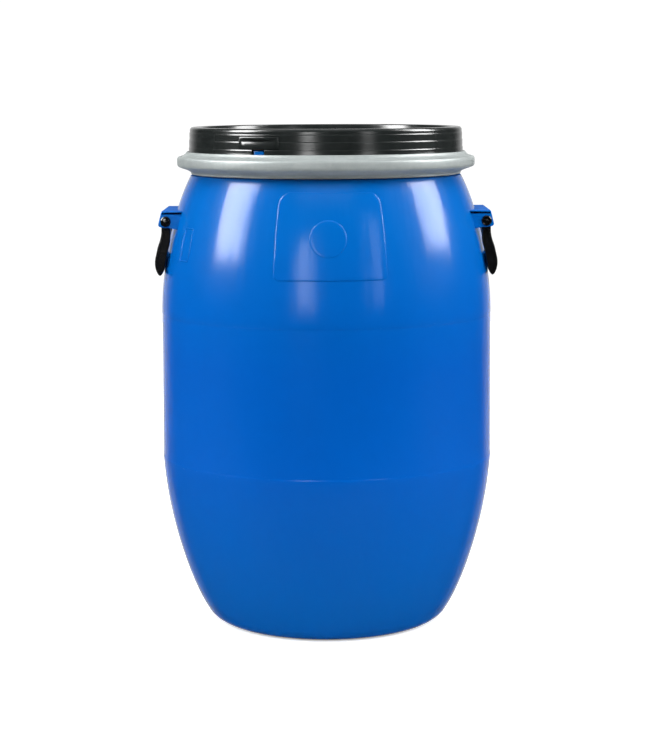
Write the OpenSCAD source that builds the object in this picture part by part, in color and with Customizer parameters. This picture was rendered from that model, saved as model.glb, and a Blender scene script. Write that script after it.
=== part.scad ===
// Open-head plastic drum, 60 litre class: blow-moulded barrel body, push-on lid
// with gasket, steel clamp ring with an over-centre lever, two swing handles.
// Millimetres. The axis is Z, the base stands on z = 0, the front is -Y.

/* [Body] */
// Largest radius, at the two label seams
belly_r = 204.1; // [200:0.1:206]
// Height of the lower label seam
seam_low = 208.5; // [200:0.1:215]
// Height of the upper label seam
seam_top = 384.5; // [380:0.1:390]
// Height of the shoulder under the clamp ring
shoulder_z = 553.6; // [552:0.1:553.8]
// Radius of the label band under its upper seam
label_r = 202.6; // [198:0.1:202.8]
// Wall thickness of the body
wall = 3.2; // [2.4:0.1:4]
// Outer radius of the neck
neck_r = 160.5; // [159:0.1:161]
// Height of the neck rim
neck_top = 602.6; // [600:0.1:603]
// Outer radius of the ring the drum stands on
foot_r = 125; // [120:0.5:128]
// Radius of the rounded corner at the foot
foot_round = 30; // [26:1:34]

/* [Lid] */
// Height over the closed lid
height = 611.4; // [610:0.1:613]
// Outer radius of the lid wall just under its rounded top edge
lid_r = 166.3; // [165:0.1:166.6]
// Radius of the recess in the top of the lid
recess_r = 153; // [148:0.5:154]
// Height of the recessed floor of the lid
recess_z = 585.4; // [580:0.1:590]
// Angle of the pry pad from the front, toward the left
pry_angle = 28; // [20:0.5:45]

/* [Clamp ring] */
// Largest radius of the clamp ring
ring_r = 182.3; // [182:0.1:183]
// Height of the middle of the lever latch
latch_z = 569.4; // [569:0.1:570]
// Sheet thickness of the ring
sheet = 1.4; // [1:0.1:1.6]
// Distance between the lever's pivot and the link's pivot on the lever
crank = 10; // [9:0.5:11]
// Distance between the two pivots of the link
link_len = 38; // [36:0.5:40]
// Angle by which the closed crank leans past dead centre
over_centre = 16; // [12:1:20]

/* [Handles] */
// Radius at which the handles' pivots stand
pivot_r = 193.4; // [193:0.1:195]
// Height of the handles' pivots
pivot_z = 499.2; // [498:0.1:501]
// Half of the width over a lug's two cheeks
lug_half = 58; // [50:1:64]
// Thickness of a cheek
cheek = 4; // [3:0.5:5]
// Radius of a pivot pin
pin_r = 3.5; // [3:0.1:4]

/* [Hidden] */

FN = 96;
STEPS = 14;

// Latch plan, worked out in a plan view with x along the ring to the left and y outward
lever_axis = [16, 194];
link_axis = lever_axis + crank * [cos(over_centre), -sin(over_centre)];
anchor_axis = link_axis + link_len * [-1, 0];
// The link's far hole is oversize: its centre is shifted from the rivet to take up the
// difference between the band's true travel and a travel in fixed proportion
eye_shift = [-1.47, -1.17];
eye_r = 4.1;
rivet_r = 2;

handle_half = lug_half - cheek - 0.5;
arm_w = 8;

// ---------- body outline ----------
function upper_u(z) = (z - seam_top) / (shoulder_z - seam_top);
function upper_r(z) = belly_r - 1.2 - 34.6 * pow(upper_u(z), 1.9) - 3 * pow(upper_u(z), 8);
function lower_u(z) = 1 - z / seam_low;
function lower_r(z) = belly_r - 13.5 * lower_u(z) - 43.5 * pow(lower_u(z), 2)
    - 7.8 * pow(lower_u(z), 12);
function upper_curve(d) = [for (i = [0:STEPS])
    let (z = seam_top + (shoulder_z - seam_top) * sin(90 * i / STEPS))
    [upper_r(z) - d, z]];
function lower_curve(d, z0) = [for (i = [0:STEPS])
    let (z = z0 + (seam_low - z0) * i / STEPS)
    [lower_r(z) - d, z]];
// Rounded corner from the standing ring up to the lower curve, d inside the outer surface
function foot_corner(d) = [for (a = [0:9.5:57])
    [foot_r + (foot_round - d) * sin(a), foot_round - (foot_round - d) * cos(a)]];

foot_z = 0.46 * foot_round;
base_rise = 7;

module body_outline() {
    polygon(concat(
        [[0, base_rise], [foot_r - 26, base_rise], [foot_r - 14, 0]],
        foot_corner(0),
        lower_curve(0, foot_z + 0.6),
        [[label_r + 1.1, seam_low + 0.4], [label_r, seam_top - 0.4]],
        upper_curve(0),
        [[neck_r, shoulder_z], [neck_r, neck_top - 1], [neck_r - 1, neck_top], [0, neck_top]]));
}

module cavity_outline() {
    polygon(concat(
        [[0, base_rise + wall], [foot_r - 24, base_rise + wall], [foot_r - 12, wall]],
        foot_corner(wall),
        lower_curve(1.2 * wall, foot_z + 3),
        [[label_r - wall, seam_low], [label_r - wall, seam_top - 4]],
        [for (p = upper_curve(1.2 * wall)) [p[0], p[1] - 2]],
        [[neck_r - wall, shoulder_z + 4], [neck_r - wall, neck_top + 1], [0, neck_top + 1]]));
}

module collar() {
    translate([0, 0, 564.8])
    cylinder(r = 178.8, h = 3.5, $fn = FN);
}

// Raises a flat shape (x along the wall, y up) from the upper half of the body, at the given
// angle from the front
module raised(angle, rise) {
    rotate([0, 0, angle])
    intersection() {
        rotate_extrude($fn = FN)
        polygon(concat([[140, seam_top]], upper_curve(-rise), [[140, shoulder_z]]));
        translate([0, -150, 0])
        rotate([90, 0, 0])
        linear_extrude(60)
        children();
    }
}

// Rectangle with corner radius r at the bottom and rt at the top
module rounded_box(w, z0, z1, r, rt) {
    translate([-w / 2, z0 + r])
    square([w, z1 - z0 - r - rt]);
    translate([-w / 2 + r, z0])
    square([w - 2 * r, 2 * r]);
    translate([-w / 2 + rt, z1 - 2 * rt])
    square([w - 2 * rt, 2 * rt]);
    for (x = [-1, 1]) {
        translate([x * (w / 2 - r), z0 + r])
        circle(r, $fn = 32);
        translate([x * (w / 2 - rt), z1 - rt])
        circle(rt, $fn = 32);
    }
}

// Lug on the +X side: a roof with a cheek at each end
module lug() {
    roof_z = pivot_z + 12.4;
    translate([160, -lug_half, roof_z - 4.8])
    cube([pivot_r + 5.2 - 160, 2 * lug_half, 4.8]);
    for (y = [-lug_half + cheek, lug_half])
        translate([0, y, 0])
        rotate([90, 0, 0])
        linear_extrude(cheek)
        polygon([[160, pivot_z - 9.5], [pivot_r - 12, pivot_z - 9.5], [pivot_r - 6, pivot_z - 8],
            [pivot_r + 6.6, pivot_z - 7], [pivot_r + 9.3, pivot_z - 4.2],
            [pivot_r + 5.2, roof_z], [160, roof_z]]);
}

module drum_body() {
    color([0.0, 0.36, 0.78])
    difference() {
        union() {
            rotate_extrude($fn = FN)
            body_outline();
            collar();
            lug();
            mirror([1, 0, 0])
            lug();
            // key that stands in the notch of the lid's skirt
            rotate([0, 0, -90 - pry_angle])
            translate([neck_r - 1, -6.5, 571.4])
            cube([6.4, 13, 14.8]);
            // front panel with a blank roundel
            raised(1.4, 0.9)
            rounded_box(126, 439.5, 539.5, 7, 14);
            raised(0.7, 1.5)
            translate([0, 487])
            circle(22, $fn = 64);
            // narrow frame toward the left
            raised(-59.5, 0.9)
            difference() {
                rounded_box(22, 454, 494, 3, 3);
                rounded_box(18.8, 455.6, 492.4, 1.6, 1.6);
            }
        }
        rotate_extrude($fn = FN)
        cavity_outline();
        for (s = [-1, 1])
            translate([s * pivot_r, -lug_half - 1, pivot_z])
            rotate([-90, 0, 0])
            cylinder(r = pin_r + 0.02, h = 2 * lug_half + 2, $fn = 48);
    }
}

// Four push-in pins, heads outside the cheeks
module handle_pins() {
    color([0.05, 0.05, 0.06])
    for (sx = [-1, 1], sy = [-1, 1])
        translate([sx * pivot_r, sy * lug_half, pivot_z])
        rotate([-90 * sy, 0, 0]) {
            cylinder(r = 6.3, h = 2.2, $fn = 48);
            translate([0, 0, -cheek - arm_w - 1.5])
            cylinder(r = pin_r, h = cheek + arm_w + 1.5, $fn = 48);
        }
}

// ---------- lid ----------
skirt_z = 568.8;

module lid_outline() {
    roof = height - 4.4;
    difference() {
        union() {
            polygon([[0, recess_z], [recess_r + 2, recess_z], [recess_r + 2, height - 6],
                [lid_r, height - 6], [lid_r, 605], [lid_r + 0.5, 604.6], [lid_r + 0.5, 596.4],
                [lid_r + 1, 596], [lid_r + 1, 587.4], [lid_r + 1.4, 587],
                [lid_r + 1.4, skirt_z + 6], [179, skirt_z + 4.9], [179, skirt_z],
                [neck_r + 1.6, skirt_z], [neck_r + 1.6, recess_z - 3], [0, recess_z - 3]]);
            translate([recess_r, height - 6])
            square([lid_r - 4 - recess_r, 6]);
            translate([recess_r + 3, height - 6])
            square([lid_r - recess_r - 3, 2]);
            translate([lid_r - 4, height - 4])
            circle(4, $fn = 32);
        }
        // channel that drops over the neck
        polygon([[neck_r - wall - 1.4, recess_z - 4], [neck_r + 1.6, recess_z - 4],
            [neck_r + 1.6, roof], [neck_r - wall - 1.4, roof]]);
        // recess in the top
        polygon([[0, recess_z], [recess_r - 3, recess_z], [recess_r, recess_z + 3],
            [recess_r, height + 1], [0, height + 1]]);
    }
}

module lid() {
    color([0.03, 0.03, 0.035])
    difference() {
        union() {
            rotate_extrude($fn = FN)
            lid_outline();
            // pry pad
            rotate([0, 0, -90 - pry_angle])
            intersection() {
                translate([lid_r - 3, -26.5, 588.4])
                cube([8, 53, 14]);
                cylinder(r = lid_r + 1.9, h = height, $fn = FN);
            }
        }
        rotate([0, 0, -90 - pry_angle]) {
            translate([lid_r + 0.2, -24, 596.8])
            cube([6, 48, 2.2]);
            translate([neck_r, -8.5, skirt_z - 1])
            cube([30, 17, 19.4]);
        }
    }
}

module lid_gasket() {
    color([0.16, 0.16, 0.17])
    translate([0, 0, neck_top + 0.3])
    difference() {
        cylinder(r = neck_r + 1.2, h = height - 4.4 - neck_top - 0.3, $fn = FN);
        translate([0, 0, -1])
        cylinder(r = neck_r - wall - 1, h = 10, $fn = FN);
    }
}

// ---------- clamp ring ----------
// Rolled edges of the sheet
TOP_BEAD = [169.7, 580.1];
LOW_BEAD = [163.7, 555.8];
bead_r = 1.6;
// Outside of the sheet, from the top bead down to the low bead
RING_OUT = [[172.4, 578.8], [174.9, 577], [177.8, 576.1], [180.5, 575.6],
    [181.7, 574.9], [ring_r - 0.1, 573.6], [ring_r, 569.4], [ring_r - 0.2, 565.4],
    [181.0, 563.6], [178, 562.2], [173.5, 560.7], [169.3, 559.4], [167, 558]];
// Inside of the sheet, from the low bead back up to the top bead
RING_IN = [[165.8, 557.8 + sheet], [168.4, 559.6 + sheet], [172.8, 560.7 + sheet],
    [177.5, 562.2 + sheet], [ring_r - 0.6 - sheet, 565], [ring_r - sheet, 569.4],
    [ring_r - 0.5 - sheet, 573.3], [180.2, 575.6 - sheet], [177.4, 576.1 - sheet],
    [174.2, 577.1 - sheet], [171.7, 578.7 - sheet]];

function arc(c, r, a0, a1, n) = [for (i = [0:n])
    let (a = a0 + (a1 - a0) * i / n)
    c + r * [cos(a), sin(a)]];

module ring_outline() {
    polygon(concat(arc(TOP_BEAD, bead_r, 300, 34, 8), RING_OUT,
        arc(LOW_BEAD, bead_r, 20, -260, 8), RING_IN));
}

// Half of the band: from the front, where it flexes, to its end at the back
module half_band(end_angle) {
    rotate([0, 0, -90 + 0.06])
    rotate_extrude(angle = 180 - end_angle - 0.06, $fn = FN)
    ring_outline();
}

module band_right() {
    color([0.72, 0.74, 0.73])
    half_band(3.2);
}

module band_left() {
    color([0.72, 0.74, 0.73])
    mirror([1, 0, 0])
    half_band(0.8);
}

// Places a plan drawing (x to the left along the ring, y outward) at a height
module plan(z0, z1) {
    for (s = [-1, 1])
        translate([0, 0, latch_z + (s > 0 ? z0 : -z1)])
        linear_extrude(z1 - z0)
        mirror([1, 0, 0])
        children();
}

module plan_mid(h) {
    translate([0, 0, latch_z - h])
    linear_extrude(2 * h)
    mirror([1, 0, 0])
    children();
}

module at(p) {
    translate(p)
    children();
}

// Saddle plate that lies on the band between two plan angles
module saddle(a0, a1, h) {
    plan_mid(h)
    difference() {
        intersection() {
            circle(ring_r + 1.3, $fn = FN);
            polygon([[0, 0], 220 * [sin(a0), cos(a0)], 220 * [sin(a1), cos(a1)]]);
        }
        circle(ring_r + 0.02, $fn = FN);
    }
}

module ear(p, r, a0, a1, hole_r) {
    difference() {
        union() {
            at(p)
            circle(r, $fn = 48);
            polygon([[(ring_r + 0.6) * sin(a0), (ring_r + 0.6) * cos(a0)],
                [(ring_r + 0.6) * sin(a1), (ring_r + 0.6) * cos(a1)],
                p + r * [0.97, -0.2], p + r * [-0.97, -0.2]]);
        }
        at(p)
        circle(hole_r, $fn = 48);
    }
}

module lever_bracket() {
    color([0.66, 0.68, 0.68]) {
        saddle(2, 8.2, 6.2);
        plan(4.6, 6.2)
        ear(lever_axis, 5, 2.6, 6.6, rivet_r + 0.52);
    }
}

// Two stub rivets: the middle stays free for the link
module lever_rivets() {
    color([0.6, 0.62, 0.62]) {
        plan(4.4, 8.6)
        at(lever_axis)
        circle(rivet_r + 0.5, $fn = 48);
        plan(8.1, 9.3)
        at(lever_axis)
        circle(4, $fn = 48);
    }
}

module anchor_bracket() {
    color([0.66, 0.68, 0.68]) {
        saddle(-9.4, -3.6, 6.2);
        plan(4.6, 6.2)
        ear(anchor_axis, 4.6, -7.4, -3.8, rivet_r + 0.02);
    }
}

module anchor_rivet() {
    color([0.6, 0.62, 0.62]) {
        plan_mid(6.4)
        at(anchor_axis)
        circle(rivet_r, $fn = 48);
        plan(6.2, 7.4)
        at(anchor_axis)
        circle(3.6, $fn = 48);
    }
}

module link() {
    eye = anchor_axis + eye_shift;
    color([0.62, 0.64, 0.64])
    plan_mid(3.4)
    difference() {
        union() {
            at(link_axis)
            circle(5, $fn = 48);
            at(eye)
            circle(6.3, $fn = 48);
            polygon([link_axis + [0, -4], link_axis + [0, 4], eye + [0, 5.2], eye + [0, -4]]);
        }
        at(link_axis)
        circle(rivet_r + 0.57, $fn = 48);
        at(eye)
        circle(eye_r, $fn = 48);
    }
}

module link_rivet() {
    color([0.6, 0.62, 0.62]) {
        plan_mid(8.4)
        at(link_axis)
        circle(rivet_r + 0.5, $fn = 48);
        plan(8.1, 9.3)
        at(link_axis)
        circle(4, $fn = 48);
        // shoulders that keep the link in the middle
        plan(3.7, 6.4)
        at(link_axis)
        circle(3.4, $fn = 48);
    }
}

// Ring sector in plan between two radii and two angles
module sector(r0, r1, a0, a1) {
    difference() {
        intersection() {
            circle(r1, $fn = FN);
            polygon([[0, 0], 260 * [sin(a0), cos(a0)],
                260 * [sin((a0 + a1) / 2), cos((a0 + a1) / 2)], 260 * [sin(a1), cos(a1)]]);
        }
        circle(r0, $fn = FN);
    }
}

LEVER_END = 44;

module lever_flange() {
    difference() {
        union() {
            at(lever_axis)
            circle(4.9, $fn = 48);
            polygon([lever_axis + [-1, 4.8], lever_axis + [-0.6, -4.8], [22, 184.4], [36, 181.6],
                [36, 193.4], [24, 197.2]]);
            sector(184.4, 197.4, 9.8, LEVER_END);
        }
        at(lever_axis)
        circle(rivet_r + 0.57, $fn = 48);
        at(link_axis)
        circle(rivet_r + 0.52, $fn = 48);
        // hole for a seal or a cotter
        at(190.5 * [sin(30), cos(30)])
        circle(1.8, $fn = 32);
    }
}

module lever() {
    color([0.72, 0.74, 0.73]) {
        plan(6.5, 8)
        lever_flange();
        plan_mid(8)
        sector(195.9, 197.4, 11.4, LEVER_END);
        // thumb tab turned outward at the free end
        plan_mid(8)
        intersection() {
            sector(186, 199.9, LEVER_END - 0.6, LEVER_END + 4);
            polygon([197.4 * [sin(LEVER_END - 1), cos(LEVER_END - 1)],
                199.9 * [sin(LEVER_END + 4), cos(LEVER_END + 4)],
                198.2 * [sin(LEVER_END + 4), cos(LEVER_END + 4)],
                195.8 * [sin(LEVER_END - 1), cos(LEVER_END - 1)]]);
        }
    }
}

// Plate welded to the band: its hole lines up with the holes in the closed lever
module seal_eyelet() {
    color([0.66, 0.68, 0.68])
    plan_mid(1)
    difference() {
        sector(ring_r + 0.05, 194.5, 28.4, 31.6);
        at(190.5 * [sin(30), cos(30)])
        circle(1.8, $fn = 32);
    }
}

// ---------- handles ----------
// Side view of the handle as it hangs on the +X side, x outward and y up
module handle_outline() {
    translate([pivot_r, pivot_z]) {
        circle(7.2, $fn = 48);
        polygon([[-5.2, 2], [-5.2, -17], [-4.4, -27], [-1.3, -37.5], [0.4, -49], [2.8, -59.2],
            [5.8, -64.2], [8.2, -66.2], [10.8, -63.8], [13.2, -59.2], [14.3, -54], [14.1, -46.7],
            [12.2, -39], [10.2, -29], [6.6, -20], [5.2, 2]]);
    }
}

module handle() {
    color([0.05, 0.05, 0.06])
    difference() {
        translate([0, handle_half, 0])
        rotate([90, 0, 0])
        linear_extrude(2 * handle_half)
        handle_outline();
        // finger opening
        translate([150, 0, 0])
        rotate([90, 0, 90])
        linear_extrude(80)
        union() {
            rounded_box(2 * (handle_half - arm_w), pivot_z - 39, pivot_z - 5, 7, 7);
            translate([arm_w - handle_half, pivot_z - 15])
            square([2 * (handle_half - arm_w), 40]);
        }
        // the grip's back follows the wall of the body
        rotate_extrude($fn = FN)
        polygon(concat([[140, seam_top]], upper_curve(-1.3), [[140, shoulder_z]]));
        translate([pivot_r, -lug_half, pivot_z])
        rotate([-90, 0, 0])
        cylinder(r = pin_r + 0.08, h = 2 * lug_half, $fn = 48);
    }
}

module handle_right() {
    handle();
}

module handle_left() {
    mirror([1, 0, 0])
    handle();
}

drum_body();
handle_pins();
lid();
lid_gasket();
band_left();
band_right();
lever_bracket();
lever_rivets();
seal_eyelet();
anchor_bracket();
anchor_rivet();
lever();
link_rivet();
link();
handle_left();
handle_right();
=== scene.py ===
"""Looks of the open-head plastic drum: body, lid, clamp ring, latch and handles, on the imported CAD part."""

import math

import bmesh
import bpy
from mathutils import Matrix


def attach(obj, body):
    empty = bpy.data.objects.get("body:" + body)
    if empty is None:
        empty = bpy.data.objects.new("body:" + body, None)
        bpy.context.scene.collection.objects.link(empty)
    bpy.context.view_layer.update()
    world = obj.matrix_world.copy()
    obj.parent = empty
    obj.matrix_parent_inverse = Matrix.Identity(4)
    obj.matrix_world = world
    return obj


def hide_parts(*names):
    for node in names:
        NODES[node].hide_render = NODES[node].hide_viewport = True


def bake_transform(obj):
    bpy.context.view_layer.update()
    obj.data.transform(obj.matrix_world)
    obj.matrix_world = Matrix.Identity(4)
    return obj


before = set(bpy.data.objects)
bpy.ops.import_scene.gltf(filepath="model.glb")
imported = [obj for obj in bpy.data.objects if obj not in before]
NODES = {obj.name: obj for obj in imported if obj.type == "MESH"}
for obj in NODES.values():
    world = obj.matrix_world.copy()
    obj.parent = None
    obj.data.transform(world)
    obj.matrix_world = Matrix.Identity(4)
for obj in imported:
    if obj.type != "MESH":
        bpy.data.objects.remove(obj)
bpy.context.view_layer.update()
MM = 0.001

# Body, in millimetres, as in the CAD part
BELLY_R = 204.1
SEAM_LOW = 208.5
SEAM_TOP = 384.5
SHOULDER_Z = 553.6
LABEL_R = 202.6
WALL = 3.2
NECK_R = 160.5
NECK_TOP = 602.6
FOOT_R = 125.0
FOOT_ROUND = 30.0
COLLAR_R = 178.8
COLLAR_Z = 564.8
COLLAR_THICK = 3.5

# Marks moulded into the front: degrees from the front toward +X, and heights
PANEL_TURN = 1.4
PANEL_WIDTH = 126.0
PANEL_LOW = 439.5
PANEL_TOP = 539.5
ROUNDEL_TURN = 0.7
ROUNDEL_R = 22.0
ROUNDEL_Z = 487.0
FRAME_TURN = -59.5
FRAME_WIDTH = 20.4
FRAME_LOW = 454.8
FRAME_TOP = 493.2

# Lid
LID_TOP = 611.4
LID_R = 166.3
RECESS_R = 153.0
RECESS_Z = 585.4
SKIRT_Z = 568.8
LEDGES = ((586.8, 1.4, 0.4), (596.0, 1.0, 0.5), (604.6, 0.5, 0.5))

# Pry pad on the lid's side, over a key on the neck that fills a notch in the skirt
PRY_ANGLE = 28.0
PAD_HALF = 26.5
PAD_LOW = 588.4
PAD_TOP = 602.4
PRY_SLOT_HALF = 24.0
PRY_SLOT_Z = 597.9
KEY_HALF = 6.5
KEY_LOW = 571.4
KEY_TOP = 586.2
NOTCH_HALF = 8.5
NOTCH_TOP = 587.2

# Clamp ring
RING_R = 182.3
RING_Z = 569.4
SHEET = 1.4
# the gap at the back runs this many degrees to each side
GAP_LEFT = 0.8
GAP_RIGHT = 3.2

# Handles and lugs
PIVOT_R = 193.4
PIVOT_Z = 499.2
LUG_HALF = 58.0
LUG_ROOT_R = 180.5
ROOF_Z = PIVOT_Z + 12.4
ROOF_THICK = 4.8
ROOF_R = PIVOT_R + 5.2
CHEEK = 4.0
PIN_SLOT_HALF = 2.6
PIN_SLOT_WIDE = 0.9
HANDLE_HALF = 53.5
ARM = 8.0
BORE_R = 3.6
HOLLOW_DEPTH = 1.2
RIBS = 7

# Camera, in metres and degrees
CAMERA_AT = (-0.0007, -2.5, 0.6587)
CAMERA_DOWN = 8.081
CAMERA_ROLL = 0.22
CAMERA_LENS = 97.23

TURN = 2 * math.pi
COLUMNS = 288


# ---------- camera ----------
def make_camera():
    data = bpy.data.cameras.new("camera")
    data.sensor_fit = "VERTICAL"
    data.sensor_height = 36.0
    data.lens = CAMERA_LENS
    data.clip_end = 100
    cam = bpy.data.objects.new("camera", data)
    cam.location = CAMERA_AT
    cam.rotation_euler = (math.radians(90 - CAMERA_DOWN), math.radians(CAMERA_ROLL), 0)
    bpy.context.scene.collection.objects.link(cam)
    bpy.context.scene.camera = cam


make_camera()


# ---------- mesh helpers ----------
def add_object(name, bm, material, sharp=32):
    """Turns bm into a shaded object: smooth, but creased where faces meet at more than sharp degrees."""
    bmesh.ops.remove_doubles(bm, verts=bm.verts, dist=1e-6)
    bmesh.ops.recalc_face_normals(bm, faces=bm.faces)
    for face in bm.faces:
        face.smooth = True
    for edge in bm.edges:
        edge.smooth = len(edge.link_faces) == 2 and edge.calc_face_angle(0) < math.radians(sharp)
    mesh = bpy.data.meshes.new(name)
    bm.to_mesh(mesh)
    bm.free()
    mesh.materials.append(material)
    obj = bpy.data.objects.new(name, mesh)
    bpy.context.scene.collection.objects.link(obj)
    return obj


def revolve(bm, outline, columns, start=0.0, sweep=TURN):
    """Sweeps a closed (r, z) outline in mm round Z. A part turn gets end faces."""
    full = abs(sweep - TURN) < 1e-9
    count = columns if full else columns + 1
    rings = []
    for i in range(count):
        a = start + sweep * i / columns
        rings.append([bm.verts.new((r * MM * math.cos(a), r * MM * math.sin(a), z * MM)) for r, z in outline])
    n = len(outline)
    for i in range(columns):
        one = rings[i]
        two = rings[(i + 1) % count]
        for j in range(n):
            k = (j + 1) % n
            if outline[j][0] < 1e-6 and outline[k][0] < 1e-6:
                continue
            corners = [one[j], two[j], two[k], one[k]]
            if outline[j][0] < 1e-6:
                corners = [one[j], two[k], one[k]]
            elif outline[k][0] < 1e-6:
                corners = [one[j], two[j], one[k]]
            bm.faces.new(corners)
    if not full:
        bm.faces.new(rings[0])
        bm.faces.new(rings[-1])


def prism(bm, points, y0, y1):
    """Closed (x, z) outline in mm pushed through from y0 to y1."""
    near = [bm.verts.new((x * MM, y0 * MM, z * MM)) for x, z in points]
    far = [bm.verts.new((x * MM, y1 * MM, z * MM)) for x, z in points]
    bm.faces.new(near)
    bm.faces.new(far)
    for i in range(len(points)):
        j = (i + 1) % len(points)
        bm.faces.new([near[i], near[j], far[j], far[i]])


def slab(bm, points, z0, z1):
    """Closed (x, y) outline in mm pushed through from z0 to z1."""
    low = [bm.verts.new((x * MM, y * MM, z0 * MM)) for x, y in points]
    high = [bm.verts.new((x * MM, y * MM, z1 * MM)) for x, y in points]
    bm.faces.new(low)
    bm.faces.new(high)
    for i in range(len(points)):
        j = (i + 1) % len(points)
        bm.faces.new([low[i], low[j], high[j], high[i]])
    return low + high


def span(a, b, n):
    """Evenly spaced values from a to b, in n steps."""
    return [a + (b - a) * i / n for i in range(n + 1)]


def spin(verts, degrees):
    """Turns verts round Z."""
    t = math.radians(degrees)
    for v in verts:
        x, y = v.co.x, v.co.y
        v.co.x = x * math.cos(t) - y * math.sin(t)
        v.co.y = x * math.sin(t) + y * math.cos(t)


def arc(cx, cz, r, a0, a1, n):
    """Points on a circle from a0 to a1 degrees, in n steps."""
    return [(cx + r * math.cos(math.radians(a0 + (a1 - a0) * i / n)),
             cz + r * math.sin(math.radians(a0 + (a1 - a0) * i / n))) for i in range(n + 1)]


def soften(points, rounds=2, closed=True):
    """Corner cutting: each round replaces every corner by two points, a quarter of the way in."""
    for _ in range(rounds):
        out = []
        n = len(points)
        for i in range(n if closed else n - 1):
            (x0, y0), (x1, y1) = points[i], points[(i + 1) % n]
            out.append((0.75 * x0 + 0.25 * x1, 0.75 * y0 + 0.25 * y1))
            out.append((0.25 * x0 + 0.75 * x1, 0.25 * y0 + 0.75 * y1))
        points = out
    return points


def bevel(obj, width, segments=3, angle=35):
    """Rounds the edges sharper than angle degrees, by width mm."""
    m = obj.modifiers.new("bevel", "BEVEL")
    m.width = width * MM
    m.segments = segments
    m.limit_method = "ANGLE"
    m.angle_limit = math.radians(angle)
    m.harden_normals = False


def settle(obj):
    """Replaces obj's mesh by what its modifiers make of it."""
    dg = bpy.context.evaluated_depsgraph_get()
    mesh = bpy.data.meshes.new_from_object(obj.evaluated_get(dg))
    obj.modifiers.clear()
    obj.data = mesh


def cut(obj, cutter):
    """Takes cutter out of obj, and removes it."""
    m = obj.modifiers.new("cut", "BOOLEAN")
    m.operation = "DIFFERENCE"
    m.solver = "EXACT"
    m.object = cutter
    settle(obj)
    bpy.data.objects.remove(cutter)


def crease(obj, sharp=32):
    """Shades obj smooth with creases, after its mesh is final."""
    bm = bmesh.new()
    bm.from_mesh(obj.data)
    for face in bm.faces:
        face.smooth = True
    for edge in bm.edges:
        edge.smooth = len(edge.link_faces) == 2 and edge.calc_face_angle(0) < math.radians(sharp)
    bm.to_mesh(obj.data)
    bm.free()


# ---------- materials ----------
class Nodes:
    """Small helper that builds one material's node tree."""

    def __init__(self, name):
        self.material = bpy.data.materials.new(name)
        self.material.use_nodes = True
        self.tree = self.material.node_tree
        self.shader = self.tree.nodes["Principled BSDF"]
        coord = self.tree.nodes.new("ShaderNodeTexCoord")
        self.place = coord.outputs["Object"]
        self.facing = coord.outputs["Normal"]

    def link(self, a, b):
        self.tree.links.new(a, b)

    def fill(self, socket, v):
        """Gives a socket a number, a colour or another node's output."""
        if isinstance(v, tuple):
            socket.default_value = (*v, 1)
        elif isinstance(v, (int, float)):
            socket.default_value = v
        else:
            self.link(v, socket)

    def maths(self, op, *values, clamp=False):
        n = self.tree.nodes.new("ShaderNodeMath")
        n.operation = op
        n.use_clamp = clamp
        for socket, v in zip(n.inputs, values):
            self.fill(socket, v)
        return n.outputs[0]

    def split(self, vector):
        n = self.tree.nodes.new("ShaderNodeSeparateXYZ")
        self.link(vector, n.inputs[0])
        return n.outputs

    def join(self, x, y, z):
        n = self.tree.nodes.new("ShaderNodeCombineXYZ")
        for socket, v in zip(n.inputs, (x, y, z)):
            self.fill(socket, v)
        return n.outputs[0]

    def noise(self, scale, detail=2.0, rough=0.5, vector=None, distort=0.0):
        n = self.tree.nodes.new("ShaderNodeTexNoise")
        n.inputs["Scale"].default_value = scale
        n.inputs["Detail"].default_value = detail
        n.inputs["Roughness"].default_value = rough
        n.inputs["Distortion"].default_value = distort
        self.link(vector or self.place, n.inputs["Vector"])
        return n.outputs["Fac"]

    def length(self, x, y):
        squares = [self.maths("MULTIPLY", v, v) for v in (x, y)]
        return self.maths("SQRT", self.maths("ADD", *squares))

    def round_place(self, around, up, out=1.0):
        """Coordinates round the Z axis: turns times around, height times up, radius times out."""
        x, y, z = self.split(self.place)
        turn = self.maths("ARCTAN2", y, x)
        radius = self.length(x, y)
        return self.join(self.maths("MULTIPLY", turn, around), self.maths("MULTIPLY", z, up),
                         self.maths("MULTIPLY", radius, out))

    def blend(self, fac, a, b, mode="MIX"):
        n = self.tree.nodes.new("ShaderNodeMix")
        n.data_type = "RGBA"
        n.blend_type = mode
        # inputs 6 and 7 and output 2 are the mix node's colours
        for socket, v in ((n.inputs[0], fac), (n.inputs[6], a), (n.inputs[7], b)):
            self.fill(socket, v)
        return n.outputs[2]

    def range(self, value, low, high, a=0.0, b=1.0):
        n = self.tree.nodes.new("ShaderNodeMapRange")
        for i, v in enumerate((low, high, a, b)):
            n.inputs[i + 1].default_value = v
        self.link(value, n.inputs[0])
        return n.outputs[0]

    def bump(self, layers):
        """layers: (height socket, strength, distance in mm), finest last."""
        normal = None
        for height, strength, distance in layers:
            n = self.tree.nodes.new("ShaderNodeBump")
            n.inputs["Strength"].default_value = strength
            n.inputs["Distance"].default_value = distance * MM
            self.link(height, n.inputs["Height"])
            if normal is not None:
                self.link(normal, n.inputs["Normal"])
            normal = n.outputs[0]
        self.link(normal, self.shader.inputs["Normal"])

    def set(self, **values):
        names = {"colour": "Base Color", "rough": "Roughness", "metal": "Metallic",
                 "spec": "Specular IOR Level", "ior": "IOR"}
        for key, v in values.items():
            self.fill(self.shader.inputs[names[key]], v)


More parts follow.
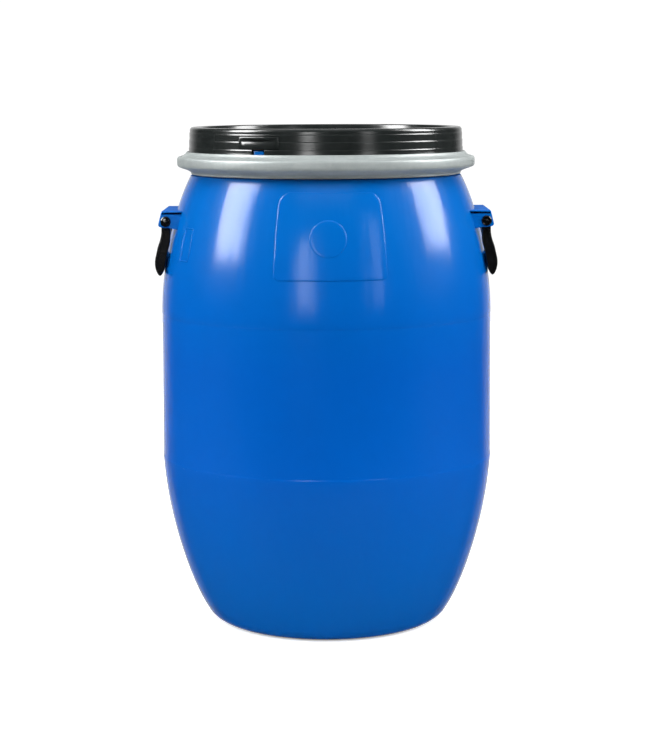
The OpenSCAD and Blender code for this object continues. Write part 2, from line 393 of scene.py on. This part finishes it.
def blue_plastic():
    m = Nodes("drum_plastic_blue")
    # slow mottling of the pigment, and faint vertical flow lines from the blow-moulding die
    mottle = m.noise(5.0, 3.0, 0.55)
    flow = m.noise(1.0, 3.0, 0.6, m.round_place(26.0, 1.6, 0.0))
    base = m.blend(m.range(mottle, 0.3, 0.7), (0.0, 0.073, 0.365), (0.0, 0.081, 0.390))
    base = m.blend(m.range(flow, 0.35, 0.7, 0.0, 0.35), base, (0.0, 0.077, 0.375))
    # painted light: the blue turns lighter and greener toward the shoulder, where light from above falls
    x, y, z = m.split(m.place)
    base = m.blend(m.range(z, 0.33, 0.50), base, (0.0, 0.102, 0.405))
    # painted shade: the blue turns darker toward the foot
    base = m.blend(m.range(z, 0.03, 0.22, 1.0, 0.0), base, (0.0, 0.0765, 0.310))
    # scuffs: thin pale rubbing where the drum meets others, at the two seams and near the foot
    near_low = m.range(m.maths("ABSOLUTE", m.maths("SUBTRACT", z, SEAM_LOW * MM)), 0.0, 0.009, 1.0, 0.0)
    near_top = m.range(m.maths("ABSOLUTE", m.maths("SUBTRACT", z, SEAM_TOP * MM)), 0.0, 0.006, 1.0, 0.0)
    near_foot = m.range(z, 0.004, 0.03, 1.0, 0.0)
    bands = m.maths("MAXIMUM", m.maths("MAXIMUM", near_low, near_top), near_foot)
    streaks = m.noise(1.0, 6.0, 0.7, m.round_place(34.0, 420.0, 0.0))
    scuff = m.maths("MULTIPLY", bands, m.range(streaks, 0.58, 0.74), clamp=True)
    base = m.blend(m.maths("MULTIPLY", scuff, 0.3), base, (0.05, 0.2, 0.55))
    grime = m.maths("MULTIPLY", near_foot, m.range(m.noise(38.0, 5.0, 0.65), 0.5, 0.75), clamp=True)
    base = m.blend(m.maths("MULTIPLY", grime, 0.25), base, (0.006, 0.045, 0.16))
    rough = m.range(m.noise(16.0, 5.0, 0.6), 0.3, 0.7, 0.155, 0.205)
    rough = m.maths("ADD", rough, m.maths("MULTIPLY", scuff, 0.2))
    # flat tops hold fine dust, which dulls them
    level = m.split(m.facing)[2]
    rough = m.maths("ADD", rough, m.range(level, 0.86, 0.97, 0.0, 0.55))
    m.set(colour=base, rough=rough, spec=0.08, ior=1.5)
    peel = m.noise(420.0, 3.0, 0.6)
    wave = m.noise(1.0, 2.0, 0.5, m.round_place(7.0, 9.0, 0.0))
    m.bump([(wave, 0.35, 2.2), (flow, 0.12, 0.5), (peel, 0.10, 0.12), (streaks, 0.02, 0.1)])
    return m.material


def black_plastic(name, dark, light, rough_low, rough_high, spec, round_marks=True):
    m = Nodes(name)
    grain = m.noise(60.0, 4.0, 0.6)
    base = m.blend(m.range(grain, 0.35, 0.65), dark, light)
    scratch = m.noise(1.0, 6.0, 0.75, m.round_place(16.0, 900.0, 300.0) if round_marks else None)
    dust = m.range(m.noise(190.0, 6.0, 0.7), 0.62, 0.8)
    base = m.blend(m.maths("MULTIPLY", dust, 0.12), base, (0.06, 0.06, 0.062))
    rough = m.range(scratch, 0.35, 0.7, rough_low, rough_high)
    rough = m.maths("ADD", rough, m.maths("MULTIPLY", dust, 0.1))
    m.set(colour=base, rough=rough, spec=spec, ior=1.5)
    m.bump([(m.noise(24.0, 2.0, 0.5), 0.2, 0.5), (m.noise(520.0, 3.0, 0.6), 0.10, 0.08)])
    return m.material


def zinc(name, light, dark, rough_low, rough_high):
    m = Nodes(name)
    spangle = m.noise(75.0, 4.0, 0.6, distort=0.6)
    base = m.blend(m.range(spangle, 0.3, 0.7), light, dark)
    draw = m.noise(1.0, 5.0, 0.7, m.round_place(5.0, 1500.0, 900.0))
    base = m.blend(m.range(draw, 0.4, 0.75, 0.0, 0.35), base, dark)
    smudge = m.range(m.noise(14.0, 4.0, 0.6), 0.45, 0.7)
    rough = m.maths("ADD", m.range(draw, 0.3, 0.7, rough_low, rough_high), m.maths("MULTIPLY", smudge, 0.06))
    m.set(colour=base, rough=rough, metal=0.08, spec=0.2)
    m.bump([(m.noise(9.0, 2.0, 0.5), 0.25, 0.8), (draw, 0.16, 0.06)])
    return m.material


def foam():
    m = Nodes("gasket_foam_grey")
    cells = m.noise(900.0, 4.0, 0.7)
    base = m.blend(m.range(cells, 0.35, 0.65), (0.05, 0.05, 0.054), (0.018, 0.018, 0.02))
    m.set(colour=base, rough=m.range(cells, 0.3, 0.7, 0.8, 0.95), spec=0.25)
    m.bump([(m.noise(60.0, 2.0, 0.5), 0.3, 0.5), (cells, 0.5, 0.3)])
    return m.material


BLUE = blue_plastic()
LID_BLACK = black_plastic("lid_plastic_black", (0.0085, 0.0108, 0.0106), (0.0125, 0.0150, 0.0146),
                          0.17, 0.23, 0.2)
HANDLE_BLACK = black_plastic("handle_plastic_black", (0.0030, 0.0030, 0.0034), (0.0055, 0.0055, 0.0060),
                             0.08, 0.15, 0.30, round_marks=False)
BAND_ZINC = zinc("band_zinc", (0.262, 0.288, 0.284), (0.22, 0.245, 0.243), 0.42, 0.52)
RIVET_ZINC = zinc("rivet_zinc", (0.30, 0.32, 0.32), (0.21, 0.23, 0.235), 0.34, 0.46)
FOAM = foam()


# ---------- drum body ----------
def upper_r(z):
    """Outer radius of the upper body, from the top seam to the shoulder."""
    u = (z - SEAM_TOP) / (SHOULDER_Z - SEAM_TOP)
    return BELLY_R - 1.2 - 34.6 * u ** 1.9 - 3 * u ** 8


def lower_r(z):
    """Outer radius of the lower body, from the foot to the low seam."""
    u = 1 - z / SEAM_LOW
    return BELLY_R - 13.5 * u - 43.5 * u ** 2 - 7.8 * u ** 12


def body_r(z):
    """Outer radius at any height between foot and shoulder."""
    if z > SEAM_TOP:
        return upper_r(z)
    if z < SEAM_LOW:
        return lower_r(z)
    return LABEL_R + 1.1 * (SEAM_TOP - z) / (SEAM_TOP - SEAM_LOW)


def foot_arc(inset):
    """Round edge of the foot, on the outer surface or inset by the wall."""
    return [(FOOT_R + (FOOT_ROUND - inset) * math.sin(math.radians(a)),
             FOOT_ROUND - (FOOT_ROUND - inset) * math.cos(math.radians(a))) for a in span(0, 57, 10)]


def shoulder_heights(gap, n):
    """Heights from the top seam, closer together toward the shoulder, where the surface turns in."""
    return [SEAM_TOP + (SHOULDER_Z - SEAM_TOP - gap) * math.sin(math.pi / 2 * i / n) for i in range(n + 1)]


def body_outline():
    """Closed section of the body: up the outside, over the neck's lip and down the inside."""
    outside = [(0, 7.0), (FOOT_R - 28, 7.0), (FOOT_R - 26, 6.6), (FOOT_R - 15.5, 0.3), (FOOT_R - 14, 0)]
    outside += foot_arc(0)
    outside += [(lower_r(z), z) for z in span(14.6, SEAM_LOW - 0.6, 34)]
    outside += [(BELLY_R - 0.1, SEAM_LOW), (LABEL_R + 1.2, SEAM_LOW + 0.5), (LABEL_R + 1.08, SEAM_LOW + 1.2)]
    outside += [(body_r(z), z) for z in span(SEAM_LOW + 4, SEAM_TOP - 4, 10)]
    outside += [(LABEL_R - 0.05, SEAM_TOP - 1.4), (LABEL_R + 0.02, SEAM_TOP - 0.6), (BELLY_R - 1.3, SEAM_TOP)]
    outside += [(upper_r(z + 0.6), z + 0.6) for z in shoulder_heights(1.5, 40)]
    outside += [(upper_r(SHOULDER_Z) - 1.6, SHOULDER_Z - 0.1), (NECK_R + 0.8, SHOULDER_Z),
                (NECK_R, SHOULDER_Z + 0.8)]
    collar_top = COLLAR_Z + COLLAR_THICK
    outside += [(NECK_R, COLLAR_Z - 0.4), (NECK_R + 0.4, COLLAR_Z), (COLLAR_R - 0.8, COLLAR_Z),
                (COLLAR_R, COLLAR_Z + 0.6), (COLLAR_R, collar_top - 0.7), (COLLAR_R - 0.8, collar_top),
                (NECK_R + 0.6, collar_top), (NECK_R, collar_top + 0.6)]
    outside += [(NECK_R, NECK_TOP - 1.6), (NECK_R - 0.5, NECK_TOP - 0.4), (NECK_R - 1.4, NECK_TOP)]
    bore = NECK_R - WALL
    inside = [(bore + 1.2, NECK_TOP), (bore + 0.2, NECK_TOP - 0.5), (bore, NECK_TOP - 1.5),
              (bore, SHOULDER_Z + 6), (bore + 0.4, SHOULDER_Z + 3)]
    inside += [(upper_r(z) - 1.2 * WALL, z - 2) for z in reversed(shoulder_heights(3, 24))]
    inside += [(lower_r(z) - 1.2 * WALL, z) for z in span(SEAM_LOW, 18, 24)]
    inside += list(reversed(foot_arc(WALL)))
    inside += [(FOOT_R - 12, WALL), (FOOT_R - 24, 7 + WALL), (0, 7 + WALL)]
    return outside + inside


def on_body(turn, z, lift):
    """Point on the outer surface, turned from the front toward +X and raised by lift mm along the normal."""
    dr = body_r(z + 0.5) - body_r(z - 0.5)
    k = 1 / math.hypot(1, dr)
    r = body_r(z) + lift * k
    return (r * math.sin(turn) * MM, -r * math.cos(turn) * MM, (z - lift * dr * k) * MM)


def bead(bm, path, half, height):
    """A low rounded rib along a closed (turn, z) path on the body, feathered into the surface."""
    section = [(-1.0, -0.25), (-0.8, 0.35), (-0.45, 0.85), (0.0, 1.0), (0.45, 0.85), (0.8, 0.35),
               (1.0, -0.25)]
    rows = []
    n = len(path)
    for i, (t, z) in enumerate(path):
        t0, z0 = path[i - 1]
        t1, z1 = path[(i + 1) % n]
        dt = (t1 - t0) * body_r(z)
        dz = z1 - z0
        length = math.hypot(dt, dz) or 1.0
        side = (-dz / length / body_r(z), dt / length)
        rows.append([bm.verts.new(on_body(t + side[0] * half * s, z + side[1] * half * s, height * h))
                     for s, h in section])
    for i in range(n):
        one, two = rows[i], rows[(i + 1) % n]
        for j in range(len(section) - 1):
            bm.faces.new([one[j], one[j + 1], two[j + 1], two[j]])
        bm.faces.new([one[-1], one[0], two[0], two[-1]])


def pad(bm, path, lift, edge=1.8, under=-0.6):
    """A low flat-topped swelling inside a closed (turn, z) path on the body, with a rounded edge."""
    n = len(path)
    t0 = sum(t for t, _ in path) / n
    z0 = sum(z for _, z in path) / n
    reach = min(math.hypot((t - t0) * body_r(z0), z - z0) for t, z in path)
    levels = [(0.0, -0.25), (0.12, 0.35 * lift), (0.35, 0.72 * lift), (0.65, 0.93 * lift), (1.0, lift)]
    levels = [(1 - edge * k / reach, h) for k, h in levels]
    levels += [(levels[-1][0] * (1 - i / 10), lift) for i in range(1, 10)]

    def row(k, h):
        return [bm.verts.new(on_body(t0 + (t - t0) * k, z0 + (z - z0) * k, h)) for t, z in path]

    top = [row(k, h) for k, h in levels]
    low = [row(k, under) for k in span(0.1, 1.0, 8)]
    for rows in (top, low, [low[-1], top[0]]):
        for one, two in zip(rows, rows[1:]):
            for i in range(n):
                j = (i + 1) % n
                bm.faces.new([one[i], one[j], two[j], two[i]])
    for rim, h in ((top[-1], lift), (low[0], under)):
        middle = bm.verts.new(on_body(t0, z0, h))
        for i in range(n):
            bm.faces.new([rim[i], rim[(i + 1) % n], middle])


def frame_path(centre, width, z0, z1, radius, top_radius, step=3.0):
    """Rounded rectangle on the body as (turn, z), starting at its lower right corner."""
    corners = [(1, z0 + radius, -90, radius), (1, z1 - top_radius, 0, top_radius),
               (-1, z1 - top_radius, 90, top_radius), (-1, z0 + radius, 180, radius)]
    points = []
    for s, z, a, r in corners:
        points += arc(s * (width / 2 - r), z, r, a, a + 90, 8)
    dense = []
    for i, (x, z) in enumerate(points):
        next_x, next_z = points[(i + 1) % len(points)]
        pieces = max(1, int(math.hypot(next_x - x, next_z - z) / step))
        dense += [(x + (next_x - x) * k / pieces, z + (next_z - z) * k / pieces) for k in range(pieces)]
    middle = body_r((z0 + z1) / 2)
    return [(centre + math.asin(x / middle), z) for x, z in dense]


def roundel_path():
    """Circle on the body as (turn, z)."""
    middle = math.radians(ROUNDEL_TURN)
    return [(middle + ROUNDEL_R * math.cos(a) / body_r(ROUNDEL_Z), ROUNDEL_Z + ROUNDEL_R * math.sin(a))
            for a in span(0, TURN, 72)[1:]]


def make_body():
    bm = bmesh.new()
    revolve(bm, body_outline(), COLUMNS)
    body = add_object("drum_shell", bm, BLUE, 40)
    bm = bmesh.new()
    pad(bm, frame_path(math.radians(PANEL_TURN), PANEL_WIDTH, PANEL_LOW, PANEL_TOP, 7, 14), 0.85)
    pad(bm, roundel_path(), 1.4, 2.2, 0.0)
    narrow = frame_path(math.radians(FRAME_TURN), FRAME_WIDTH, FRAME_LOW, FRAME_TOP, 2.4, 2.4, 1.5)
    bead(bm, narrow, 0.8, 0.65)
    marks = add_object("moulded_marks", bm, BLUE, 60)
    bm = bmesh.new()
    r0, r1 = NECK_R - 1, NECK_R + 5.4
    sides = [(r0, -KEY_HALF), (r1, -KEY_HALF), (r1, KEY_HALF), (r0, KEY_HALF)]
    spin(slab(bm, sides, KEY_LOW, KEY_TOP), -90 - PRY_ANGLE)
    key = add_object("neck_key", bm, BLUE)
    bevel(key, 0.8)
    for piece in (body, marks, key):
        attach(piece, "drum")
    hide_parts("drum_body")


def hung(points):
    """Places (x, z) points given from the handle's pivot on the +X side."""
    return [(PIVOT_R + x, PIVOT_Z + z) for x, z in points]


def sided(side, points):
    """Puts (x, z) points on that side of the drum, 1 for +X and -1 for -X."""
    return [(side * x, z) for x, z in points]


def make_lug(side):
    """Roof with two cheeks. Its root ends inside the wall, so that nothing shows inside the drum."""
    bm = bmesh.new()
    turn = math.asin(LUG_HALF / LUG_ROOT_R)
    back = [(LUG_ROOT_R * math.cos(a), LUG_ROOT_R * math.sin(a)) for a in span(turn, -turn, 16)]
    front = [(ROOF_R, -LUG_HALF), (ROOF_R, LUG_HALF)]
    slab(bm, [(side * x, y) for x, y in back + front], ROOF_Z - ROOF_THICK, ROOF_Z)
    for y in (-LUG_HALF, LUG_HALF - CHEEK):
        inner = [(math.sqrt((body_r(z) - 1.8) ** 2 - (LUG_HALF - CHEEK / 2) ** 2), z)
                 for z in span(ROOF_Z - 0.4, PIVOT_Z - 9.5, 6)]
        outer = hung([(-12, -9.5), (-8.5, -8.6), (-4, -7.8), (5.6, -7.1), (8.1, -6.2), (9.2, -4.2),
                      (5.4, 11.4)])
        prism(bm, sided(side, inner + outer), y, y + CHEEK)
    lug = add_object("lug_right" if side > 0 else "lug_left", bm, BLUE)
    bevel(lug, 0.9)
    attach(lug, "drum")


def make_pins():
    """Push-in pins: a domed head with a recessed ring and a split middle."""
    outline = [(0, 2.1), (1.4, 1.9), (2.2, 1.2), (2.6, 0.4), (3.6, 0.3), (4.1, 0.8), (4.6, 1.9), (5.2, 2.1),
               (5.8, 1.8), (6.2, 1.1), (6.3, 0.5), (6.2, 0.02), (3.5, 0.0), (3.48, -13.0), (3.0, -13.5),
               (0, -13.5)]
    bm = bmesh.new()
    slots = bmesh.new()
    for sx in (-1, 1):
        for sy in (-1, 1):
            first = len(bm.verts)
            revolve(bm, outline, 40)
            bm.verts.ensure_lookup_table()
            for v in bm.verts[first:]:
                x, y, z = v.co
                v.co = (sx * PIVOT_R * MM + x, sy * (LUG_HALF * MM + z), PIVOT_Z * MM + y * sy)
            middle = sx * PIVOT_R
            x0, x1 = middle - PIN_SLOT_HALF, middle + PIN_SLOT_HALF
            z0, z1 = PIVOT_Z - PIN_SLOT_WIDE / 2, PIVOT_Z + PIN_SLOT_WIDE / 2
            y0, y1 = sorted((sy * (LUG_HALF + 0.4), sy * (LUG_HALF + 4)))
            prism(slots, [(x0, z0), (x1, z0), (x1, z1), (x0, z1)], y0, y1)
    pins = add_object("push_in_pins", bm, HANDLE_BLACK)
    cut(pins, add_object("slots", slots, HANDLE_BLACK))
    crease(pins, 35)
    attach(pins, "drum")
    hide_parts("handle_pins")


make_body()
make_lug(-1)
make_lug(1)
make_pins()


# ---------- lid ----------
def lid_outline():
    """Closed section of the lid: over the rim, across the recess, back underneath and up the stepped side."""
    wall = [(LID_R, LID_TOP - 4)] + arc(LID_R - 4, LID_TOP - 4, 4, 8, 90, 8)
    rim = [(RECESS_R + 2.2, LID_TOP), (RECESS_R + 0.7, LID_TOP - 0.5), (RECESS_R, LID_TOP - 1.8),
           (RECESS_R, RECESS_Z + 4), (RECESS_R - 1, RECESS_Z + 1.2), (RECESS_R - 3.4, RECESS_Z)]
    floor = [(RECESS_R - 12, RECESS_Z), (RECESS_R - 13, RECESS_Z - 0.3), (RECESS_R - 14, RECESS_Z - 1.2),
             (108, RECESS_Z - 1.2), (106.5, RECESS_Z - 0.9), (105, RECESS_Z), (0, RECESS_Z)]
    bore = NECK_R - WALL
    under = [(0, RECESS_Z - 3), (bore - 2.4, RECESS_Z - 3), (bore - 1.4, RECESS_Z - 2),
             (bore - 1.4, LID_TOP - 4.6), (bore - 1.2, LID_TOP - 4.4),
             (NECK_R + 1.4, LID_TOP - 4.4), (NECK_R + 1.6, LID_TOP - 4.6), (NECK_R + 1.6, SKIRT_Z + 0.4),
             (NECK_R + 2.0, SKIRT_Z)]
    flange = [(178.4, SKIRT_Z), (179, SKIRT_Z + 0.6), (179, SKIRT_Z + 4.2), (178.4, SKIRT_Z + 4.9),
              (LID_R + 2.3, SKIRT_Z + 5.6), (LID_R + 1.4, SKIRT_Z + 6.6)]
    steps = []
    for z, out, step in LEDGES:
        r = LID_R + out
        steps += [(r, z - 1.2), (r, z - 0.5), (r - 0.1, z - 0.12), (r - 0.3, z + 0.08), (r - step, z + 0.3),
                  (r - step, z + 0.9)]
    return wall + rim + floor + under + flange + steps


def turned_box(bm, r0, r1, half, z0, z1, degrees, round_r=None):
    """Box across the radius r0 to r1 at that angle from +X, or out to a circle if round_r is given."""
    outer = [(r1, -half), (r1, half)]
    if round_r:
        a = math.asin(half / round_r)
        outer = [(round_r * math.cos(t), round_r * math.sin(t)) for t in span(-a, a, 10)]
    spin(slab(bm, [(r0, half), (r0, -half)] + outer, z0, z1), degrees)


def make_lid():
    at = -90 - PRY_ANGLE
    bm = bmesh.new()
    revolve(bm, lid_outline(), COLUMNS)
    lid = add_object("lid_shell", bm, LID_BLACK, 50)
    bm = bmesh.new()
    turned_box(bm, NECK_R, NECK_R + 30, NOTCH_HALF, SKIRT_Z - 1, NOTCH_TOP, at)
    turned_box(bm, LID_R + 0.2, LID_R + 8, PRY_SLOT_HALF - 0.5, PRY_SLOT_Z - 1.1, PRY_SLOT_Z + 1.1, at)
    cut(lid, add_object("cutter", bm, LID_BLACK))
    crease(lid, 50)
    bm = bmesh.new()
    turned_box(bm, LID_R - 3, 0, PAD_HALF, PAD_LOW, PAD_TOP, at, LID_R + 1.85)
    block = add_object("pry_pad", bm, LID_BLACK)
    bevel(block, 0.7)
    settle(block)
    bm = bmesh.new()
    turned_box(bm, LID_R + 0.2, LID_R + 8, PRY_SLOT_HALF, PRY_SLOT_Z - 1.3, PRY_SLOT_Z + 1.3, at)
    cut(block, add_object("cutter", bm, LID_BLACK))
    bevel(block, 0.25, 2, 50)
    settle(block)
    crease(block, 40)
    for piece in (lid, block):
        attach(piece, "lid")
    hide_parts("lid")


make_lid()


# ---------- clamp ring ----------
def band_outline():
    """Closed section of the ring: a channel with curled edges. Heights are from its middle."""
    top = (169.7, RING_Z + 10.7)
    low = (163.7, RING_Z - 13.6)
    outside = [(171.3, 10.9), (172.5, 9.3), (174.9, 7.7), (177.8, 6.8), (180.3, 6.2), (181.6, 5.3),
               (RING_R - 0.1, 3.6), (RING_R, 0), (RING_R - 0.2, -3.6), (181.2, -5.6), (178, -7.1),
               (173.5, -8.6), (169.3, -10), (167, -11.4), (165.6, -12.6)]
    inside = [(164.2, -11.6), (165.8, SHEET - 11.6), (168.4, SHEET - 9.8), (172.8, SHEET - 8.7),
              (177.5, SHEET - 7.2), (RING_R - 0.6 - SHEET, -4.4), (RING_R - SHEET, 0),
              (RING_R - 0.5 - SHEET, 3.9), (180.2, 6.2 - SHEET), (177.4, 6.7 - SHEET),
              (174.2, 7.7 - SHEET), (171.7, 9.3 - SHEET)]
    outside = [(r, RING_Z + z) for r, z in outside]
    inside = [(r, RING_Z + z) for r, z in inside]
    return (arc(*top, 1.6, 290, 20, 14) + soften(outside, 1, closed=False)
            + arc(*low, 1.6, 20, -250, 14) + soften(inside, 1, closed=False))


def make_band():
    """The band is one strip, swept round with its gap at the back, in place of the two CAD halves."""
    bm = bmesh.new()
    sweep = math.radians(360 - GAP_LEFT - GAP_RIGHT)
    revolve(bm, band_outline(), COLUMNS, math.radians(90 + GAP_LEFT), sweep)
    band = add_object("clamp_band", bm, BAND_ZINC, 40)
    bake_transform(band)
    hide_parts("band_left", "band_right")


make_band()


# ---------- handles ----------
def side_outline():
    """Side view of a hanging handle on the +X side."""
    arm = [(-5.2, -15), (-4.6, -26), (-1.4, -37), (0.3, -48), (2.6, -58), (4.6, -62.6), (6.6, -65.4),
           (8.2, -66.1), (10.1, -64.8), (12.5, -60.5), (14.1, -54), (14.0, -46.7), (12.2, -39), (10.2, -30),
           (6.8, -21), (5.4, -12)]
    return hung(soften(arm, 1, closed=False) + arc(0, 0, 7.2, -40, 220, 16))


def make_handle(side):
    name = "right" if side > 0 else "left"
    body = "handle_" + name
    # two arms
    bm = bmesh.new()
    for y in (-HANDLE_HALF, HANDLE_HALF - ARM):
        prism(bm, sided(side, side_outline()), y, y + ARM)
    arms = add_object("handle_%s_arms" % name, bm, HANDLE_BLACK)
    bevel(arms, 1.1)
    settle(arms)
    bore = bmesh.new()
    circle = arc(side * PIVOT_R, PIVOT_Z, BORE_R, 0, 345, 23)
    prism(bore, circle, -LUG_HALF, LUG_HALF)
    cut(arms, add_object("bore", bore, HANDLE_BLACK))
    # shallow hollows in the arms' outer faces, with a rim and a bar left between them
    hollows = bmesh.new()
    upper = [(-3.0, -12.0), (-2.4, -25), (0.4, -35.6), (8.6, -35.6), (7.8, -29.4), (4.6, -20.8), (3.4, -12.0)]
    lower = [(0.9, -37.8), (2.4, -47.6), (4.7, -57.2), (8.0, -62.2), (10.6, -58.6), (11.9, -53.8),
             (11.8, -46.8), (9.4, -37.8)]
    for points in (upper, lower):
        for y in (-HANDLE_HALF - 1, HANDLE_HALF - HOLLOW_DEPTH):
            prism(hollows, sided(side, hung(points)), y, y + 1 + HOLLOW_DEPTH)
    cut(arms, add_object("hollows", hollows, HANDLE_BLACK))
    crease(arms, 40)
    # grip: a curved shell, open toward the drum, stiffened by ribs
    bm = bmesh.new()
    outer = [(6.8, -38.8), (11.4, -39.8), (13.3, -46.7), (13.6, -54), (12.1, -60.2), (9.9, -64.1),
             (8.2, -65.4), (7.5, -64.6)]
    inner = [(7.4, -61.4), (8.4, -58.6), (10.0, -54), (9.8, -47.4), (8.2, -42.4), (5.6, -41.4), (4.1, -40.8),
             (3.8, -38.6)]
    prism(bm, sided(side, hung(soften(outer + inner, 2))), -HANDLE_HALF + 2, HANDLE_HALF - 2)
    rib = [(9.8, -41.5), (11.4, -47.4), (11.6, -54), (9.8, -60.6), (8.0, -62.8), (7.1, -60.4), (5.8, -51),
           (4.4, -42), (4.1, -39.6)]
    for y in span(-36, 36, RIBS - 1):
        prism(bm, sided(side, hung(rib)), y - 1.1, y + 1.1)
    grip = add_object("handle_%s_grip" % name, bm, HANDLE_BLACK, 35)
    bevel(grip, 0.5, 2)
    for piece in (arms, grip):
        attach(piece, body)
    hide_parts(body)


make_handle(-1)
make_handle(1)


# ---------- small hardware kept from the CAD part ----------
def dress(node, material, width):
    """Gives a node of the CAD part its material and finely rounded edges."""
    obj = NODES[node]
    obj.data.materials.clear()
    obj.data.materials.append(material)
    bevel(obj, width, 2, 40)


for node in ("lever", "lever_bracket", "anchor_bracket", "seal_eyelet", "link"):
    dress(node, BAND_ZINC, 0.3)
for node in ("lever_rivets", "anchor_rivet", "link_rivet"):
    dress(node, RIVET_ZINC, 0.3)
dress("lid_gasket", FOAM, 0.6)


# ---------- studio ----------
def make_floor():
    m = Nodes("pale_floor")
    tone = m.noise(1.2, 3.0, 0.5)
    m.set(colour=m.blend(tone, (0.88, 0.88, 0.88), (0.90, 0.90, 0.90)), rough=0.7, spec=0.2)
    # lit from below like a light table as the camera sees it, except where the drum stands
    x, y, z = m.split(m.place)
    away = m.length(x, y)
    path = m.tree.nodes.new("ShaderNodeLightPath")
    edge = FOOT_R * MM
    lit = m.range(away, edge + 0.002, edge + 0.011, 0.0, 0.75)
    glow = m.maths("MULTIPLY", lit, path.outputs["Is Camera Ray"])
    m.shader.inputs["Emission Color"].default_value = (1, 1, 1, 1)
    m.link(glow, m.shader.inputs["Emission Strength"])
    bm = bmesh.new()
    left, right, near, far = -3.2, 3.2, -0.9, 3.2
    corners = ((left, near), (right, near), (right, far), (left, far))
    bm.faces.new([bm.verts.new((x, y, 0)) for x, y in corners])
    floor = add_object("floor", bm, m.material)
    floor.visible_glossy = False


def make_softbox(name, turn, distance, low, high, width, watts, shine, lean, aim=0.35):
    """Rectangular light, turned from the front of the drum toward +X, with its edges at heights low and high.
    It faces the axis at height aim and leans sideways. It makes only highlights (shine) or only plain soft
    light, so that the two can be balanced. Lengths are in metres, angles in degrees."""
    a = math.radians(turn)
    middle = (low + high) / 2
    data = bpy.data.lights.new(name, "AREA")
    data.shape = "RECTANGLE"
    data.size = width
    data.size_y = high - low
    data.energy = watts
    light = bpy.data.objects.new(name, data)
    light.location = (distance * math.sin(a), -distance * math.cos(a), middle)
    tilt = math.pi / 2 - math.atan2(middle - aim, distance)
    light.rotation_euler = (Matrix.Rotation(a, 3, "Z") @ Matrix.Rotation(tilt, 3, "X")
                            @ Matrix.Rotation(math.radians(lean), 3, "Z")).to_euler()
    light.visible_glossy = shine
    light.visible_diffuse = not shine
    bpy.context.scene.collection.objects.link(light)


def make_world():
    """White as the camera sees it. For the drum, bright behind and overhead, dark in front."""
    world = bpy.data.worlds.new("studio")
    bpy.context.scene.world = world
    world.use_nodes = True
    tree = world.node_tree
    tree.nodes.clear()
    links = tree.links

    def ramp(socket, low, high, a, b):
        n = tree.nodes.new("ShaderNodeMapRange")
        n.interpolation_type = "SMOOTHSTEP"
        for i, v in enumerate((low, high, a, b)):
            n.inputs[i + 1].default_value = v
        links.new(socket, n.inputs[0])
        return n.outputs[0]

    coord = tree.nodes.new("ShaderNodeTexCoord")
    split = tree.nodes.new("ShaderNodeSeparateXYZ")
    links.new(coord.outputs["Generated"], split.inputs[0])
    behind = ramp(split.outputs[1], 0.70, 0.98, 0.04, 0.9)
    above = ramp(split.outputs[2], 0.72, 0.99, 0.0, 1.4)
    most = tree.nodes.new("ShaderNodeMath")
    most.operation = "MAXIMUM"
    links.new(behind, most.inputs[0])
    links.new(above, most.inputs[1])
    around = tree.nodes.new("ShaderNodeBackground")
    links.new(most.outputs[0], around.inputs["Strength"])
    seen = tree.nodes.new("ShaderNodeBackground")
    seen.inputs["Strength"].default_value = 1.05
    path = tree.nodes.new("ShaderNodeLightPath")
    mix = tree.nodes.new("ShaderNodeMixShader")
    out = tree.nodes.new("ShaderNodeOutputWorld")
    seen.inputs["Color"].default_value = (1, 1, 1, 1)
    around.inputs["Color"].default_value = (1, 1, 1, 1)
    links.new(path.outputs["Is Camera Ray"], mix.inputs[0])
    links.new(around.outputs[0], mix.inputs[1])
    links.new(seen.outputs[0], mix.inputs[2])
    links.new(mix.outputs[0], out.inputs[0])


make_floor()
make_world()
# name, turn, distance, low, high, width, watts, shine, lean
LIGHTS = (("softbox_left", -77, 1.7, 0.76, 2.3, 0.76, 245, True, 12),
          ("softbox_right", 91, 1.7, 0.78, 2.3, 0.80, 182, True, -13),
          ("strip_left", -14, 2.6, 0.46, 1.45, 0.42, 28, True, 0),
          ("strip_right", 34, 2.4, 0.5, 1.7, 0.36, 12, True, 0),
          ("side_left", -80, 1.8, 0.5, 2.3, 1.3, 37, False, 0),
          ("side_right", 80, 1.8, 0.5, 2.3, 1.3, 37, False, 0),
          ("fill", 0, 2.2, 2.4, 4.0, 2.4, 128, False, 0))
for light in LIGHTS:
    make_softbox(*light)
bpy.context.scene.view_settings.view_transform = "Standard"
